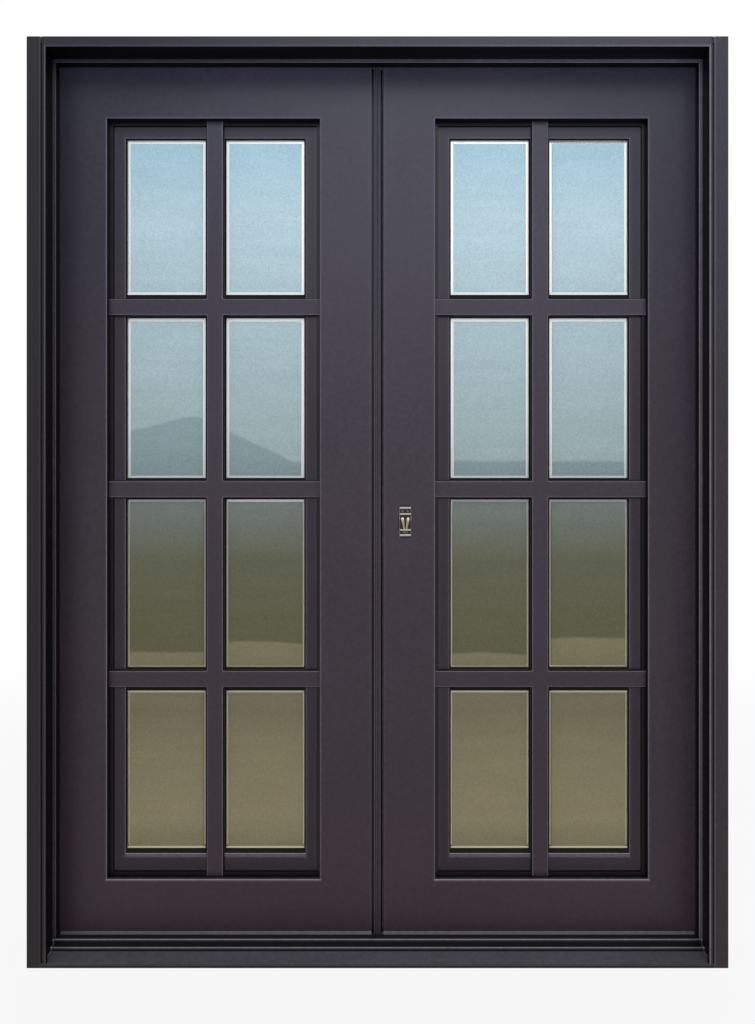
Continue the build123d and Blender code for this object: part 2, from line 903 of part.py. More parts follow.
def make_face_plate():
    x = (leaf_inner, leaf_inner + face_plate_thickness)
    plate = edge_plate(x, lock_height, face_plate_width / 2, face_plate_height / 2)
    return plate - dead_bolt_hole(x[0], x[1])


def make_dead_bolt():
    x = (leaf_inner + dead_bolt_recess, leaf_inner + dead_bolt_recess + dead_bolt_length)
    bolt = edge_plate(x, dead_bolt_z, dead_bolt_thickness / 2, dead_bolt_height / 2)
    return chamfer(bolt.edges().filter_by(Axis.Z).group_by(Axis.X)[0], dead_bolt_chamfer)


def trim_bar_places():
    # Height above the trim's middle and thickness of each bar, from the top down.
    end = trim_height / 2 - trim_end_bar_inset - trim_end_bar / 2
    inner = [(height, trim_inner_bar) for height in trim_inner_heights]
    return [(end, trim_end_bar), *inner, (-end, trim_end_bar)]


def make_trim():
    base = (trim_base_front, trim_base_back)
    half_x = trim_width / 2 - trim_clearance
    half_z = trim_height / 2 - trim_clearance
    x = (lock_x - half_x, lock_x + half_x)
    z = (lock_height - half_z, lock_height + half_z)
    rails_y = (trim_base_front - trim_rail_depth, trim_base_front)
    trim = plate_y(x, base, z, trim_corner_radius)
    rails = plate_y(x, rails_y, z, trim_corner_radius)
    trim += rails - block((x[0] + trim_rail_width, x[1] - trim_rail_width), rails_y, z)
    bar_x = (x[0] + trim_clearance, x[1] - trim_clearance)
    bar_front = trim_base_front - trim_bar_depth
    for height, size in trim_bar_places():
        middle = lock_height + height
        bar = block(bar_x, (bar_front, trim_base_front), (middle - size / 2, middle + size / 2))
        trim += fillet(edges_at_front(bar, bar_front), trim_bar_radius)
    for side in (-1, 1):
        trim += make_lobe(side)
    for height, size in ((trim_slot_height, trim_slot_size), (key_slot_height, key_slot_size)):
        middle = lock_height + height
        trim -= block((lock_x - size[0] / 2, lock_x + size[0] / 2), base,
                      (middle - size[1] / 2, middle + size[1] / 2))
    post_y = (trim_base_back, leaf_middle - lock_case_thickness / 2)
    end_height = trim_bar_places()[0][0]
    for height in (-end_height, end_height):
        trim += pin_y(lock_x, post_y, lock_height + height, trim_post_radius)
    return trim


def make_lobe(side):
    # A tapered cheek: the outline round a large circle above and a small one below.
    top = Pos(side * lobe_top[0], lobe_top[1]) * Circle(lobe_radius)
    foot = Pos(side * lobe_foot[0], lobe_foot[1]) * Circle(lobe_foot_radius)
    outline = make_hull(top.edges() + foot.edges())
    depth = trim_bar_depth - lobe_setback
    lobe_front = trim_base_front - depth
    lobe = Pos(lock_x, lobe_front, lock_height) * extrude(Plane.XZ * outline, amount=depth, dir=(0, 1, 0))
    return fillet(edges_at_front(lobe, lobe_front), lobe_edge_radius)


def make_turn():
    # The turn on the room side with the slotted spindle that shows through the trim.
    rose_back = back + rose_thickness
    neck_back = rose_back + turn_neck_depth
    spindle = pin_y(lock_x, (trim_base_back + turn_front_gap, back), turn_z, turn_spindle_radius)
    neck = pin_y(lock_x, (back, neck_back), turn_z, turn_neck_radius)
    width, height = turn_grip_size
    grip_x = (lock_x - width / 2, lock_x + width / 2)
    grip_z = (turn_z - height / 2, turn_z + height / 2)
    grip = plate_y(grip_x, (neck_back, neck_back + turn_grip_depth), grip_z, rounded_end(width))
    return spindle + neck + grip


def make_rose():
    y = (back, back + rose_thickness)
    rose = pin_y(lock_x, y, turn_z, rose_radius)
    rose = fillet(edges_at_back(rose, y[1]), leaf_edge_radius)
    return rose - pin_y(lock_x, y, turn_z, turn_neck_radius + running_clearance)


# Writing the pieces

os.makedirs("parts", exist_ok=True)

for name, side in (("left", -1), ("right", 1)):
    save(f"jamb_{name}", make_jamb(side))
save("head", make_head())
save("sill_plate", make_sill())
save("threshold", make_threshold())
save("jamb_beads", make_bead(-1), make_bead(1))
save("head_bead", make_head_bead())
save("jamb_stops", make_stop(-1), make_stop(1))
save("head_stop", make_head_stop())
save("frame_seals", *make_frame_seals())
save("bolt_keeps", *make_keeps())
save("hinge_frame_knuckles", *make_frame_knuckles())
save("hinge_pins", *make_hinge_pins())
save("hinge_washers", *make_hinge_washers())

for name, side in (("left", -1), ("right", 1)):
    save(f"{name}_front_skin", make_skin(side))
    save(f"{name}_hinge_stile", make_stile(side, window_outer, leaf_outer))
    save(f"{name}_lock_stile", make_lock_stile(side))
    save(f"{name}_top_rail", make_rail(side, (window_top, leaf_top)))
    save(f"{name}_bottom_rail", make_rail(side, (leaf_bottom, window_bottom)))
    save(f"{name}_grille", make_grille(side))
    save(f"{name}_weather_bar", make_weather_bar(side))
    save(f"{name}_leaf_knuckles", *make_leaf_knuckles(side))
    save(f"{name}_sash", *make_sash(side))
    save(f"{name}_outer_panes", *make_panes(side, glass_front))
    save(f"{name}_glass_spacers", *make_spacers(side))
    save(f"{name}_inner_panes", *make_panes(side, inner_glass_front))
    save(f"{name}_glazing_beads", *make_glazing_beads(side))
    save(f"{name}_sash_hinge_pins", *make_sash_hinges(side, True))
    save(f"{name}_sash_knuckles", *make_sash_hinges(side, False))
    for place, height in zip(("lower", "upper"), button_heights()):
        save(f"{name}_{place}_turn_button", make_button(side, height))

save("astragal", make_astragal())
save("meeting_seal", make_meeting_seal())
save("strike_plate", make_strike())
save("top_flush_bolt", make_flush_bolt(True))
save("bottom_flush_bolt", make_flush_bolt(False))
save("lock_case", make_lock_case())
save("lock_face_plate", make_face_plate())
save("lock_trim", make_trim())
save("lock_rose", make_rose())
save("lock_turn", make_turn())
save("dead_bolt", make_dead_bolt())
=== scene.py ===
import json
import math

import bpy
import numpy as np
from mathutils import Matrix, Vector


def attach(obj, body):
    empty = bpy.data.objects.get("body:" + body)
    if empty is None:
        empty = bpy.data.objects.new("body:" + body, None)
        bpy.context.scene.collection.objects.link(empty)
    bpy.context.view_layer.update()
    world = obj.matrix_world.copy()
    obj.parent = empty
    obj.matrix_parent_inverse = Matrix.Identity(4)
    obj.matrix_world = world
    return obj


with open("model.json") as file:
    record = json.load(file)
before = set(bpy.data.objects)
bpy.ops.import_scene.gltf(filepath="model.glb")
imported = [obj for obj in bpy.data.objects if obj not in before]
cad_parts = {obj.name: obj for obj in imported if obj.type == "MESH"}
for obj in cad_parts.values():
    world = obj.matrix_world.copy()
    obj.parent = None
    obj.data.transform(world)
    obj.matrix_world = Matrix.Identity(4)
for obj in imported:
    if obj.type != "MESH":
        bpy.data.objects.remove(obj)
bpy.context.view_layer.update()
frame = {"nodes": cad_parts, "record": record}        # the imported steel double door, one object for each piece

record = frame["record"]
nodes = frame["nodes"]
print("loaded", len(nodes), "pieces")


# Shader sums

class Wire:
    # A node's output that can be used in sums, with numbers or with other outputs.
    def __init__(self, finish, socket):
        self.finish = finish
        self.socket = socket

    def __add__(self, other):
        return self.finish.sum("ADD", self, other)

    def __sub__(self, other):
        return self.finish.sum("SUBTRACT", self, other)

    def __rsub__(self, other):
        return self.finish.sum("SUBTRACT", other, self)

    def __mul__(self, other):
        return self.finish.sum("MULTIPLY", self, other)

    def __truediv__(self, other):
        return self.finish.sum("DIVIDE", self, other)

    def __pow__(self, other):
        return self.finish.sum("POWER", self, other)

    __radd__ = __add__
    __rmul__ = __mul__

    def least(self, other):
        return self.finish.sum("MINIMUM", self, other)

    def most(self, other):
        return self.finish.sum("MAXIMUM", self, other)

    def size(self):
        return self.finish.sum("ABSOLUTE", self)

    def between(self, low, high):
        # 0 below low, 1 above high and a smooth step from one to the other.
        step = self.finish.node("ShaderNodeMapRange", {"interpolation_type": "SMOOTHSTEP"},
                                {"Value": self, "From Min": low, "From Max": high})
        return step("Result")

    def past(self, edge, soft=0.0005):
        # 0 before an edge and 1 past it, with a step as soft as is asked for on either side.
        return self.between(edge - soft, edge + soft)


class Finish:
    # The nodes of one material, or of the world.
    def __init__(self, owner, outputKind="ShaderNodeOutputMaterial"):
        self.owner = owner
        owner.use_nodes = True
        self.tree = owner.node_tree
        self.tree.nodes.clear()
        self.output = self.tree.nodes.new(outputKind)

    def node(self, kind, settings=None, values=None):
        # Adds a node, sets it up, then feeds its sockets; returns a way to pick its outputs.
        node = self.tree.nodes.new(kind)
        for key, value in (settings or {}).items():
            if key == "stops":
                self.setStops(node.color_ramp, value)
            else:
                setattr(node, key, value)
        for key, value in (values or {}).items():
            self.feed(self.socketOf(node.inputs, key), value)
        return lambda key=0: Wire(self, self.socketOf(node.outputs, key))

    def socketOf(self, sockets, key):
        if isinstance(key, int):
            return sockets[key]
        named = [socket for socket in sockets if key in (socket.identifier, socket.name) and socket.enabled]
        return named[0]

    def feed(self, socket, value):
        if isinstance(value, Wire):
            self.tree.links.new(value.socket, socket)
        elif socket.type == "VECTOR":
            socket.default_value = value[:3]
        else:
            socket.default_value = value

    def setStops(self, ramp, stops):
        while len(ramp.elements) < len(stops):
            ramp.elements.new(1)
        for element, (place, colour) in zip(ramp.elements, stops):
            element.position = place
            element.color = colour

    def sum(self, operation, *terms):
        values = {index: term for index, term in enumerate(terms)}
        return self.node("ShaderNodeMath", {"operation": operation}, values)()

    def mix(self, factor, first, second):
        values = {"Factor_Float": factor, "A_Color": first, "B_Color": second}
        return self.node("ShaderNodeMix", {"data_type": "RGBA"}, values)("Result_Color")

    def shade(self, colour, light):
        values = {0: colour, "Scale": light}
        return self.node("ShaderNodeVectorMath", {"operation": "SCALE"}, values)("Vector")

    def place(self):
        return self.node("ShaderNodeTexCoord")("Object")

    def axes(self, vector=None):
        split = self.node("ShaderNodeSeparateXYZ", {}, {"Vector": vector or self.place()})
        return split("X"), split("Y"), split("Z")

    def facing(self):
        # How far the surface looks along each axis of the door.
        return self.axes(self.node("ShaderNodeTexCoord")("Normal"))

    def stretch(self, scale):
        return self.node("ShaderNodeMapping", {}, {"Vector": self.place(), "Scale": scale})()

    def noise(self, scale, detail, rough, vector=None):
        values = {"Vector": vector or self.place(), "Scale": scale, "Detail": detail, "Roughness": rough}
        return self.node("ShaderNodeTexNoise", {}, values)("Fac")

    def bump(self, height, depth):
        return self.node("ShaderNodeBump", {}, {"Height": height, "Distance": depth, "Strength": 1.0})()

    def ramp(self, along, tones):
        # A ramp over the heights that its tones are listed with, whatever their order.
        tones = sorted(tones)
        low, high = tones[0][0], tones[-1][0]
        stops = [((at - low) / (high - low), linear(*tone)) for at, tone in tones]
        share = (along - low) / (high - low)
        return self.node("ShaderNodeValToRGB", {"stops": stops}, {"Fac": share})("Color")

    def skin(self, values):
        return self.node("ShaderNodeBsdfPrincipled", {}, values)()

    def seen(self):
        # 1 where the eye, a reflection or a look through glass meets the surface.
        path = self.node("ShaderNodeLightPath")
        return path("Is Camera Ray").most(path("Is Glossy Ray")).most(path("Is Transmission Ray"))

    def close(self, shader):
        self.feed(self.output.inputs["Surface"], shader)
        return self.owner


def newFinish(name):
    return Finish(bpy.data.materials.new(name))


def linear(red, green, blue):
    # A screen colour from 0 to 255 as the light that it stands for.
    def channel(value):
        share = value / 255
        return share / 12.92 if share <= 0.04045 else ((share + 0.055) / 1.055) ** 2.4

    return (channel(red), channel(green), channel(blue), 1.0)


def dress(material, *names):
    # Puts a finish on CAD pieces, in place of the plain one that they came with.
    for name in names:
        for slot in nodes[name].material_slots:
            slot.material = material


def blend(mask, first, second):
    # The first value where the mask is 0, the second where it is 1.
    return first + mask * (second - first)


def stripe(distance, start, end, soft=0.0006):
    # 1 between two distances and 0 elsewhere.
    return distance.past(start, soft) * (1 - distance.past(end, soft))


def drift(noise, share):
    # A swing round 0. Noise seldom leaves the middle half of its range, so it reaches about the share.
    return (noise - 0.5) * (4 * share)


# Dark bronze paint. Each noise is given as scale, detail and roughness, here and in what follows

paintLook = {
    # tones: the paint's colour by height, bluer at the top and redder low down, a painted reflection of sky and
    # ground
    "tones": [(2.35, (54, 54, 72)), (1.25, (57, 48, 60)), (0.05, (53, 40, 49))],
    "mottle": (75.0, 4.0, 0.65),
    "mottleShare": 0.20,
    "speck": (330.0, 2.0, 0.6),
    "speckShare": 0.16,
    "cloud": (3.0, 2.0, 0.5),
    "cloudShare": 0.08,
    "peel": (420.0, 2.0, 0.5),
    "peelDepth": 0.00012,
    "roughness": 0.42,
    "roughShare": 0.03,
    # edge and edgeLift set the painted highlight on rounded edges, by how far the surface leans off the axes
    "edge": (0.80, 0.985),
    "edgeLift": 2.2,
    "shine": 0.28,
    "highlightTone": (57, 54, 60),
    "highlightFull": 1.6,
    "highlightShare": 0.7,
}


def tinted(tone, tint):
    return tuple(part * share for part, share in zip(tone, tint))


def bronzePaint(name, tint=(1.0, 1.0, 1.0), paintedLight=None):
    # Satin spray paint: its colour drifts with height, bluer at the top and redder low down as a painted
    # reflection of sky and ground, and in soft clouds; a fine mottle, specks and orange peel lie on it. Rounded
    # edges carry a painted highlight, and painted light and shade brighten or darken chosen places. What is
    # lighter than plain paint also turns towards the highlight tone.
    look = paintLook
    finish = newFinish(name)
    x, y, z = finish.axes()
    facing = finish.facing()
    colour = finish.ramp(z, [(at, tinted(tone, tint)) for at, tone in look["tones"]])
    mottle = finish.noise(*look["mottle"])
    shade = 1 + drift(mottle, look["mottleShare"]) + drift(finish.noise(*look["cloud"]), look["cloudShare"])
    shade = shade + drift(finish.noise(*look["speck"]), look["speckShare"])
    flat = facing[0].size().most(facing[1].size()).most(facing[2].size())
    light = shade * (1 + (1 - flat.between(*look["edge"])) * look["edgeLift"])
    if paintedLight:
        light = light * paintedLight(x, y, z, facing)
    highlight = (light - 1).between(0.0, look["highlightFull"]) * look["highlightShare"]
    colour = finish.mix(highlight, colour, linear(*tinted(look["highlightTone"], tint)))
    normal = finish.bump(finish.noise(*look["peel"]), look["peelDepth"])
    rough = look["roughness"] + drift(mottle, look["roughShare"])
    return finish.close(finish.skin({"Base Color": finish.shade(colour, light), "Roughness": rough,
                                     "Normal": normal, "Specular IOR Level": look["shine"]}))


# Painted light and shade: each function gives the share of light that a place keeps, above 1 for a painted
# highlight and below 1 for painted shade

openingLook = {
    "near": 0.158,
    "far": 0.742,
    "low": 0.180,
    "high": 2.267,
    "skinBack": 0.0245,
    "skinSoft": 0.001,
    "rimWide": 0.0050,
    "rimSoft": 0.001,
    "rimLift": 0.55,
    "lowRim": 0.1805,
    "lowRimLift": 1.1,
    "wallDeep": 0.0010,
    "wallBack": 0.0515,
    "wallShare": 0.12,
    "ledgeUp": (0.7, 0.9),
    "ledgeBack": (0.029, 0.033),
    "ledgeShare": 2.1,
    "outerAcross": (0.30, 0.76),
    "outerUp": (0.4, 2.1),
    "outerFall": 0.26,
    "sideAcross": (0.79, 0.884),
    "sideSoft": 0.1,
    "leftFall": 0.16,
    "rightLift": 0.45,
    "topUp": (2.36, 2.410),
    "topLift": 0.80,
    "gapHalf": 0.0165,
    "gapShare": 0.15,
    "meetBand": (0.0170, 0.0230),
    "meetLift": 0.22,
    "lockBand": (0.0563, 0.0618),
    "lockSoft": 0.0012,
    "lockUp": (1.137, 1.177),
    "lockUpSoft": 0.001,
    "lockShare": 0.20,
}


def outsideOpening(x, z):
    # How far a place on the leaf lies outside the opening of its window.
    reach = (openingLook["near"] - x.size()).most(x.size() - openingLook["far"])
    return reach.most(openingLook["low"] - z).most(z - openingLook["high"])


def leafPaintedLight(x, y, z, facing):
    # Painted light and shade on the leaf: the skin is painted darker outwards and towards the left, and lighter
    # towards the right and the top. The rim round the window and a band beside the meeting gap carry a painted
    # highlight; the gap, a painted shadow along the edge of the lock's recess and the walls inside the window
    # are painted dark, all but the ledge at the foot of the window, which is painted lighter.
    look = openingLook
    away = outsideOpening(x, z)
    deep = y.past(look["skinBack"], look["skinSoft"])
    rim = (1 - away.past(look["rimWide"], look["rimSoft"])) * (1 - deep)
    wall = deep * (1 - away.past(look["wallDeep"])) * (1 - y.past(look["wallBack"]))
    ledge = facing[2].between(*look["ledgeUp"]) * (1 - y.between(*look["ledgeBack"]))
    outer = x.size().between(*look["outerAcross"]) * z.between(*look["outerUp"]) * look["outerFall"]
    fall = blend(x.past(0.0, look["sideSoft"]), look["leftFall"], -look["rightLift"])
    side = x.size().between(*look["sideAcross"]) * fall
    top = z.between(*look["topUp"]) * look["topLift"]
    low = (1 - z.past(look["lowRim"])) * look["lowRimLift"]
    meet = stripe(x.size(), *look["meetBand"]) * look["meetLift"]
    gap = 1 - x.size().past(look["gapHalf"])
    lock = stripe(x, *look["lockBand"], look["lockSoft"]) * stripe(z, *look["lockUp"], look["lockUpSoft"])
    face = (1 - (outer + side - top) * (1 - deep)) * (1 + rim * (look["rimLift"] + low) + meet)
    face = face * blend(gap, 1, look["gapShare"]) * blend(lock, 1, look["lockShare"])
    return face * blend(wall, 1, blend(ledge, look["wallShare"], look["ledgeShare"]))


astragalLook = {
    "nose": (-0.0100, 0.0085),
    "noseShare": 0.72,
    "grooveMiddle": -0.0008,
    "grooveHalf": 0.0014,
    "grooveShare": 0.62,
    "sideShare": 0.05,
}


def astragalPaintedLight(x, y, z, facing):
    # Painted light and shade: the nose keeps most of the light and its groove less; the flanges on both sides of
    # it are painted dark as shade.
    groove = 1 - (x - astragalLook["grooveMiddle"]).size().past(astragalLook["grooveHalf"])
    front = astragalLook["noseShare"] * blend(groove, 1, astragalLook["grooveShare"])
    return blend(stripe(x, *astragalLook["nose"]), astragalLook["sideShare"], front)


barLook = {
    "middle": 0.450,
    "crossBars": (0.725, 1.250, 1.754),
    "half": 0.0225,
    "rimWide": 0.0040,
    "rimSoft": 0.001,
    "rimLift": 0.55,
    "front": (0.5, 0.8),
    "sideShare": 0.30,
    "deep": 0.0445,
    "deepShare": 0.10,
}


def barDistance(x, z):
    # How far a place lies inside the nearest bar, from its edge.
    inside = barLook["half"] - (x.size() - barLook["middle"]).size()
    for height in barLook["crossBars"]:
        inside = inside.most(barLook["half"] - (z - height).size())
    return inside


def grillePaintedLight(x, y, z, facing):
    # The bars' edges carry a painted highlight; the bars' sides and the ring behind them are painted dark as
    # shade.
    front = (facing[1] * -1).between(*barLook["front"])
    rim = 1 - barDistance(x, z).past(barLook["rimWide"], barLook["rimSoft"])
    near = (1 + rim * front * barLook["rimLift"]) * blend(front, barLook["sideShare"], 1)
    return near * blend(y.past(barLook["deep"]), 1, barLook["deepShare"])


sashLook = {
    "near": 0.161,
    "far": 0.739,
    "low": 0.183,
    "high": 2.264,
    "front": 0.0565,
    "darkEdge": 0.0085,
    "darkSoft": 0.0006,
    "darkShare": 0.10,
    "barShadow": 0.0037,
    "rimEdge": 0.0140,
    "rimLift": 0.35,
    "cellRim": (-0.0045, 0.0020),
    "cellLift": 0.9,
}


def insideSash(x, z):
    # How far a place lies inside the outline of the sash.
    inside = (x.size() - sashLook["near"]).least(sashLook["far"] - x.size())
    return inside.least(z - sashLook["low"]).least(sashLook["high"] - z)


def sashPaintedLight(x, y, z, facing):
    # Painted shade beside the ring and behind the bars, with painted highlights on the edges round the frame and
    # round each lite.
    inside = insideSash(x, z)
    front = 1 - y.past(sashLook["front"])
    dark = 1 - inside.past(sashLook["darkEdge"], sashLook["darkSoft"])
    dark = dark.most(barDistance(x, z).past(-sashLook["barShadow"], sashLook["darkSoft"])) * front
    rim = stripe(inside, sashLook["darkEdge"], sashLook["rimEdge"]) * sashLook["rimLift"]
    cell = stripe(edgeDistance(x, z), *sashLook["cellRim"]) * sashLook["cellLift"]
    return (1 + (rim + cell) * front) * blend(dark, 1, sashLook["darkShare"])


revealLook = {
    "half": 0.884,
    "sideFall": 0.65,
    "rightLift": 0.06,
    "jamb": (0.881, 0.884),
    "headShare": 1.36,
    "inward": (0.80, 0.95),
    "inside": 0.8870,
    "headInside": 2.4210,
    "share": 0.13,
    "front": (0.6, 0.9),
    "faceBack": -0.0665,
    "beadEdge": (0.8665, 0.8702),
    "beadTop": 2.4030,
    "beadLift": 1.5,
    "groove": (0.8715, 0.8775),
    "grooveShare": 0.06,
    "casingEdge": (0.8785, 0.8815),
    "casingLift": 0.5,
    "headBead": (2.4035, 2.4085),
    "headEnd": 0.8697,
    "headLift": 1.2,
    "stops": (-0.0075, -0.0025),
    "stopSoft": 0.001,
    "stopShare": 4.3,
}


def revealPaintedLight(x, y, z, facing):
    # Painted light and shade: light is painted rising across the frame from the left jamb to the right one, and
    # the head takes more of it. Painted highlights lie on the edges of the beads and of the casing; the groove
    # between them is painted dark as shade, the fronts of the stops are painted lighter, and the inner faces,
    # deep in the reveal, are painted dark as shade.
    look = revealLook
    inward = facing[0].size().between(*look["inward"]).most((facing[2] * -1).between(*look["inward"]))
    inside = (1 - x.size().past(look["inside"])) * (1 - z.past(look["headInside"]))
    side = blend(x.past(0.0, look["half"]), 1 - look["sideFall"], 1 + look["rightLift"])
    side = side * blend(x.size().between(*look["jamb"]), look["headShare"], 1)
    front = (facing[1] * -1).between(*look["front"])
    near = front * (1 - y.past(look["faceBack"]))
    lift = stripe(x.size(), *look["beadEdge"]) * (1 - z.past(look["beadTop"])) * look["beadLift"]
    lift = lift + stripe(x.size(), *look["casingEdge"]) * look["casingLift"]
    head = stripe(z, *look["headBead"]) * (1 - x.size().past(look["headEnd"]))
    lift = lift + head * look["headLift"]
    groove = stripe(x.size(), *look["groove"]) * near
    stops = stripe(y, *look["stops"], look["stopSoft"]) * front
    face = (1 + lift * near) * blend(groove, 1, look["grooveShare"]) * blend(stops, 1, look["stopShare"])
    return side * face * blend(inside * inward, 1, look["share"])


sillLook = {
    "up": (0.5, 0.9),
    "faceShare": 0.07,
    "treadShare": 1.12,
    "steps": 0.012,
    "stepSoft": 0.001,
    "stepShare": 0.10,
    "edgeLines": ((0.018, -0.019), (0.032, -0.005)),
    "edgeWide": 0.0045,
    "edgeSoft": 0.001,
    "edgeLift": 0.73,
    "front": -0.0745,
    "frontShare": 0.45,
    "seam": (0.8745, 0.8805),
    "seamLift": 0.9,
}


def sillPaintedLight(x, y, z, facing):
    # Painted light and shade: faces that look up are painted lighter, with a painted highlight on the seam at
    # each end; the upright faces and the steps' tops are painted dark as shade but for a painted highlight on
    # each front edge, and the sill's front is painted darker than its tread.
    up = facing[2].between(*sillLook["up"])
    steps = z.past(sillLook["steps"], sillLook["stepSoft"])
    share = blend(up, sillLook["faceShare"], sillLook["treadShare"])
    share = share * blend(steps * up, 1, sillLook["stepShare"])
    for height, depth in sillLook["edgeLines"]:
        near = (z - height).size() + (y - depth).size()
        share = share + (1 - near.past(sillLook["edgeWide"], sillLook["edgeSoft"])) * sillLook["edgeLift"]
    front = 1 - y.past(sillLook["front"])
    seam = stripe(x.size(), *sillLook["seam"]) * (1 - front) * sillLook["seamLift"]
    return share * blend(front, 1, sillLook["frontShare"]) + seam


# Panes: a clear edge where the spacer shows, the rest carries a painted reflection, pale blue above and olive
# below

paneLook = {
    "above": [(2.22, (160, 195, 212)), (2.00, (177, 202, 214)), (1.50, (157, 178, 183)),
              (1.26, (146, 162, 163))],
    "below": [(1.42, (134, 155, 160)), (1.29, (124, 142, 146)), (1.21, (111, 119, 116)),
              (1.05, (94, 96, 78)), (0.84, (92, 91, 69))],
    "foot": [(0.78, (114, 109, 85)), (0.63, (107, 102, 82)), (0.54, (118, 111, 88)),
             (0.33, (128, 120, 96)), (0.25, (114, 108, 84))],
    "crestTop": 1.462,
    "crestPlace": -0.515,
    "crestSlopes": (-0.30, 0.48),
    "crestRound": 0.00012,
    "crestFloor": 1.328,
    "crestSoft": 0.006,
    "ripple": (5.0, 3.0, 0.55),
    "rippleReach": 0.0075,
    "footTop": 0.795,
    "footSteps": (0.024, 0.045),
    "footSoft": 0.005,
    "footGain": 1.12,
    "wave": (2.2, 2.0, 0.5),
    "waveReach": 0.015,
    "streak": (1.0, 3.0, 0.6),
    "streakStretch": (4.0, 1.0, 26.0),
    "streakShare": 0.05,
    "grain": (260.0, 3.0, 0.6),
    "grainShare": 0.15,
    "gain": 1.20,
    "roughness": 0.12,
    "shine": 0.1,
    "middle": 0.450,
    "barHalf": 0.025,
    "columnReach": 0.250,
    "crossBars": (0.725, 1.250, 1.754),
    "low": 0.229,
    "high": 2.225,
    "clearEdge": 0.0092,
    "clearMore": 0.0033,
    "clearGrows": (1.15, 1.30),
    "clearSoft": 0.0004,
    "clearShare": 0.94,
    "lines": ((0.2505, 0.2560), (0.6840, 0.6885), (1.7915, 1.7985)),
    "lineInset": 0.0035,
}


def paneReflection(finish, x, z):
    # Painted reflection of sky, a hill and ground: three ramps over height. The first lies above a rippled
    # crest: a rounded top that falls with one slope to the left and another to the right, down to a floor. The
    # third lies under a wavy line near the foot, one step higher over the left leaf's inner lites and another
    # over the right leaf's outer ones. Flat streaks and a fine grain lie over all.
    look = paneLook
    off = x - look["crestPlace"]
    drop = (off * look["crestSlopes"][0]).most(off * look["crestSlopes"][1])
    crest = (look["crestTop"] - (drop * drop + look["crestRound"]) ** 0.5).most(look["crestFloor"])
    crest = crest + drift(finish.noise(*look["ripple"]), look["rippleReach"])
    overCrest = (z - crest).past(0.0, look["crestSoft"])
    line = look["footTop"] + drift(finish.noise(*look["wave"]), look["waveReach"])
    line = line + stripe(x, -look["middle"], 0.0) * look["footSteps"][0]
    line = line + x.past(look["middle"]) * look["footSteps"][1]
    overFoot = (z - line).past(0.0, look["footSoft"])
    colour = finish.mix(overCrest, finish.ramp(z, look["below"]), finish.ramp(z, look["above"]))
    foot = finish.shade(finish.ramp(z, look["foot"]), look["footGain"])
    colour = finish.mix(overFoot, foot, colour)
    streak = finish.noise(*look["streak"], finish.stretch(look["streakStretch"]))
    grain = finish.noise(*look["grain"])
    light = 1 + drift(grain, look["grainShare"]) + drift(streak, look["streakShare"])
    return finish.shade(colour, light * look["gain"])


def edgeDistance(x, z):
    # How far a place lies inside the lite that is nearest: the least of its distances to the four edges.
    across = (x.size() - paneLook["middle"]).size()
    inset = (across - paneLook["barHalf"]).least(paneLook["columnReach"] - across)
    inset = inset.least(z - paneLook["low"]).least(paneLook["high"] - z)
    for height in paneLook["crossBars"]:
        inset = inset.least((z - height).size() - paneLook["barHalf"])
    return inset


def outerGlass(name):
    # The panes' painted reflection, solid but for a clear edge, which is wider in the upper lites. A few pale
    # level lines in the spacer's painted tones lie solid over both.
    look = paneLook
    finish = newFinish(name)
    x, _, z = finish.axes()
    inset = edgeDistance(x, z)
    reach = look["clearEdge"] + z.between(*look["clearGrows"]) * look["clearMore"]
    clear = 1 - (inset - reach).past(0.0, look["clearSoft"])
    lines = sum(stripe(z, *ends) for ends in look["lines"]) * inset.past(look["lineInset"])
    tone = finish.mix(lines, paneReflection(finish, x, z), finish.ramp(z, spacerLook["tones"]))
    opaque = 1 - clear * look["clearShare"] * (1 - lines)
    return finish.close(finish.skin({"Base Color": tone, "Roughness": look["roughness"], "Alpha": opaque,
                                     "Specular IOR Level": look["shine"]}))


glassLook = {
    "tone": (205, 216, 214),
    "haze": (4.0, 3.0, 0.6),
    "roughness": 0.04,
    "roughMore": 0.03,
    "solid": 0.10,
    "solidMore": 0.08,
    "shine": 0.5,
}


def innerGlass(name):
    # Clear glass with a faint haze that comes and goes, in how solid and how rough it is.
    finish = newFinish(name)
    haze = finish.noise(*glassLook["haze"])
    rough = glassLook["roughness"] + haze * glassLook["roughMore"]
    solid = glassLook["solid"] + haze * glassLook["solidMore"]
    return finish.close(finish.skin({"Base Color": linear(*glassLook["tone"]), "Roughness": rough,
                                     "Alpha": solid, "Specular IOR Level": glassLook["shine"]}))


# Bare metal and rubber

spacerLook = {
    "tones": [(2.22, (252, 255, 255)), (1.45, (246, 252, 253)), (1.28, (215, 224, 226)),
              (1.22, (180, 184, 180)), (1.05, (196, 189, 168)), (0.25, (206, 198, 174))],
    "grain": (700.0, 2.0, 0.6),
    "grainShare": 0.03,
    "metallic": 0.35,
    "roughness": 0.43,
    "roughShare": 0.025,
}


def spacerMetal(name):
    # Bright aluminium strip with a painted reflection: brighter and bluer towards the head of the door, warmer
    # low down, with a fine grain in tone and gloss.
    finish = newFinish(name)
    grain = finish.noise(*spacerLook["grain"])
    tone = finish.ramp(finish.axes()[2], spacerLook["tones"])
    tone = finish.shade(tone, 1 + drift(grain, spacerLook["grainShare"]))
    rough = spacerLook["roughness"] + drift(grain, spacerLook["roughShare"])
    return finish.close(finish.skin({"Base Color": tone, "Metallic": spacerLook["metallic"],
                                     "Roughness": rough}))


